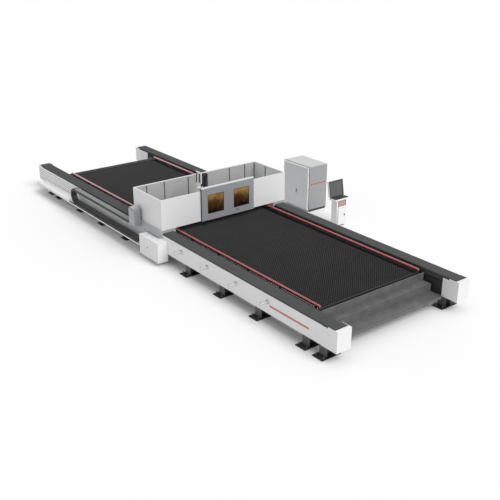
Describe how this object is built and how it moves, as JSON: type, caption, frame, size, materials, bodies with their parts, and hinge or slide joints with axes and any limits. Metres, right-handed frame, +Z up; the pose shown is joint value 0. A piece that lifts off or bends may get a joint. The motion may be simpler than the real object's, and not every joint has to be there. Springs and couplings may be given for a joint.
{
  "type": "laser-flame hybrid cutting machine",
  "caption": "Gantry cutting machine with slatted beds between covered side beams, a laser head and a flame torch in a travelling open-topped enclosure, a control cabinet and a console.",
  "frame": {"origin": "on the floor at the middle of the machine, at the centre of the four anchor holes", "axes": "+X along the side beams towards the near end of the bed, +Y across the beams towards the control cabinet, +Z up"},
  "size_m": [19.22, 8.725, 2.71],
  "materials": {
    "beam_black": "satin black paint on welded steel",
    "panel_white": "white powder coat on folded sheet",
    "rail_steel": "ground guide rail steel",
    "foot_dark": "dark painted steel feet",
    "slat_dark": "dark slag-marked mild steel slats",
    "signal_red": "signal red paint",
    "step_grey": "grey painted tread plate",
    "bellows_grey": "dark grey coated bellows cloth",
    "chain_black": "black nylon chain links",
    "cylinder_metal": "anodised aluminium cylinder",
    "saddle_grey": "light grey paint",
    "gantry_white": "white powder coat",
    "drive_black": "black paint",
    "door_grey": "blue-grey powder coat",
    "amber_glass": "amber laser-safety glass",
    "carriage_alu": "machined aluminium",
    "torch_brass": "brass torch tube",
    "cabinet_grey": "light grey powder coat",
    "console_white": "white powder coat",
    "display_dark": "dark display glass"
  },
  "bodies": {
    "base": {"beam_left": "beam_black", "beam_right": "beam_black", "side_panel_left": "panel_white", "side_panel_right": "panel_white", "end_caps": "panel_white", "guide_rail_left": "rail_steel", "guide_rail_right": "rail_steel", "legs_left": "foot_dark", "legs_right": "foot_dark", "bed_frame_near": "beam_black", "bed_frame_far": "beam_black", "slats_near": "slat_dark", "slats_far": "slat_dark", "edge_tubes": "signal_red", "steps_near": "step_grey", "steps_far": "step_grey", "cable_tray": "panel_white", "junction_box": "panel_white", "panel_stripe": "signal_red", "bellows_near_left": "bellows_grey", "bellows_near_right": "bellows_grey", "bellows_far_left": "bellows_grey", "bellows_far_right": "bellows_grey", "chain_lower": "chain_black", "damper_barrels": "cylinder_metal", "cabinet_body": "cabinet_grey", "cabinet_plinth": "drive_black", "cabinet_stripe": "signal_red", "console_body": "console_white", "console_feet": "drive_black", "console_deck": "console_white", "console_keyboard": "chain_black"},
    "chain_loop": {"chain_bend": "chain_black"},
    "gantry": {"saddle_left": "saddle_grey", "saddle_right": "saddle_grey", "gantry_beam": "gantry_white", "x_drives": "drive_black", "enclosure_shell": "gantry_white", "chain_bracket": "saddle_grey", "chain_upper": "chain_black", "cross_chain_lower": "chain_black"},
    "cross_loop": {"cross_chain_bend": "chain_black"},
    "carriage": {"carriage_plate": "carriage_alu", "head_column": "gantry_white", "hose_chain": "chain_black", "cross_chain_upper": "chain_black"},
    "laser": {"laser_head": "carriage_alu"},
    "torch_lift": {"torch": "torch_brass"},
    "sliding_door": {"door_panel": "door_grey", "door_windows": "amber_glass"},
    "valve_1": {"damper_valve_1": "cylinder_metal"},
    "valve_2": {"damper_valve_2": "cylinder_metal"},
    "valve_3": {"damper_valve_3": "cylinder_metal"},
    "valve_4": {"damper_valve_4": "cylinder_metal"},
    "leaf_left": {"cabinet_door_left": "cabinet_grey"},
    "leaf_right": {"cabinet_door_right": "cabinet_grey"},
    "handle": {"cabinet_handle": "drive_black"},
    "service_door": {"console_door": "console_white"},
    "screen": {"console_screen": "console_white", "console_display": "display_dark"}
  },
  "joints": [
    {"name": "gantry_travel", "type": "slide", "parent": "base", "child": "gantry", "axis": [1, 0, 0], "range_m": [-7.1, 7.4], "deforming": ["bellows_near_left", "bellows_near_right", "bellows_far_left", "bellows_far_right", "chain_upper"]},
    {"name": "chain_travel", "type": "slide", "parent": "base", "child": "chain_loop", "axis": [1, 0, 0], "range_m": [-3.55, 3.7], "deforming": ["chain_lower"]},
    {"name": "carriage_travel", "type": "slide", "parent": "gantry", "child": "carriage", "axis": [0, 1, 0], "range_m": [-1.05, 2.25], "deforming": ["cross_chain_upper"]},
    {"name": "cross_chain_travel", "type": "slide", "parent": "gantry", "child": "cross_loop", "axis": [0, 1, 0], "range_m": [-0.525, 1.125], "deforming": ["cross_chain_lower"]},
    {"name": "laser_lift", "type": "slide", "parent": "carriage", "child": "laser", "axis": [0, 0, 1], "range_m": [-0.06, 0.12]},
    {"name": "torch_lift_slide", "type": "slide", "parent": "carriage", "child": "torch_lift", "axis": [0, 0, 1], "range_m": [-0.06, 0.12]},
    {"name": "door_slide", "type": "slide", "parent": "gantry", "child": "sliding_door", "axis": [0, 1, 0], "range_m": [-1.55, 0]},
    {"name": "valve_stroke_1", "type": "slide", "parent": "base", "child": "valve_1", "axis": [0, 1, 0], "range_m": [0, 0.15]},
    {"name": "valve_stroke_2", "type": "slide", "parent": "base", "child": "valve_2", "axis": [0, 1, 0], "range_m": [0, 0.15]},
    {"name": "valve_stroke_3", "type": "slide", "parent": "base", "child": "valve_3", "axis": [0, 1, 0], "range_m": [0, 0.15]},
    {"name": "valve_stroke_4", "type": "slide", "parent": "base", "child": "valve_4", "axis": [0, 1, 0], "range_m": [0, 0.15]},
    {"name": "leaf_left_hinge", "type": "hinge", "parent": "base", "child": "leaf_left", "pos_m": [-1.342, 4.605, 1], "axis": [0, 0, -1], "range_deg": [0, 110]},
    {"name": "leaf_right_hinge", "type": "hinge", "parent": "base", "child": "leaf_right", "pos_m": [0.187, 4.605, 1], "axis": [0, 0, 1], "range_deg": [0, 110]},
    {"name": "handle_turn", "type": "hinge", "parent": "leaf_right", "child": "handle", "pos_m": [-0.5425, 4.6, 0.815], "axis": [0, 1, 0], "range_deg": [0, 90]},
    {"name": "service_door_hinge", "type": "hinge", "parent": "base", "child": "service_door", "pos_m": [2.15, 4.41, 0.4], "axis": [0, 0, -1], "range_deg": [0, 100]},
    {"name": "screen_tilt", "type": "hinge", "parent": "base", "child": "screen", "pos_m": [1.79, 4.7, 1.117], "axis": [0, 1, 0], "range_deg": [-25, 10]}
  ],
  "couplings": [
    {"joint": "chain_travel", "follows": "gantry_travel", "ratio": 0.5},
    {"joint": "cross_chain_travel", "follows": "carriage_travel", "ratio": 0.5}
  ]
}
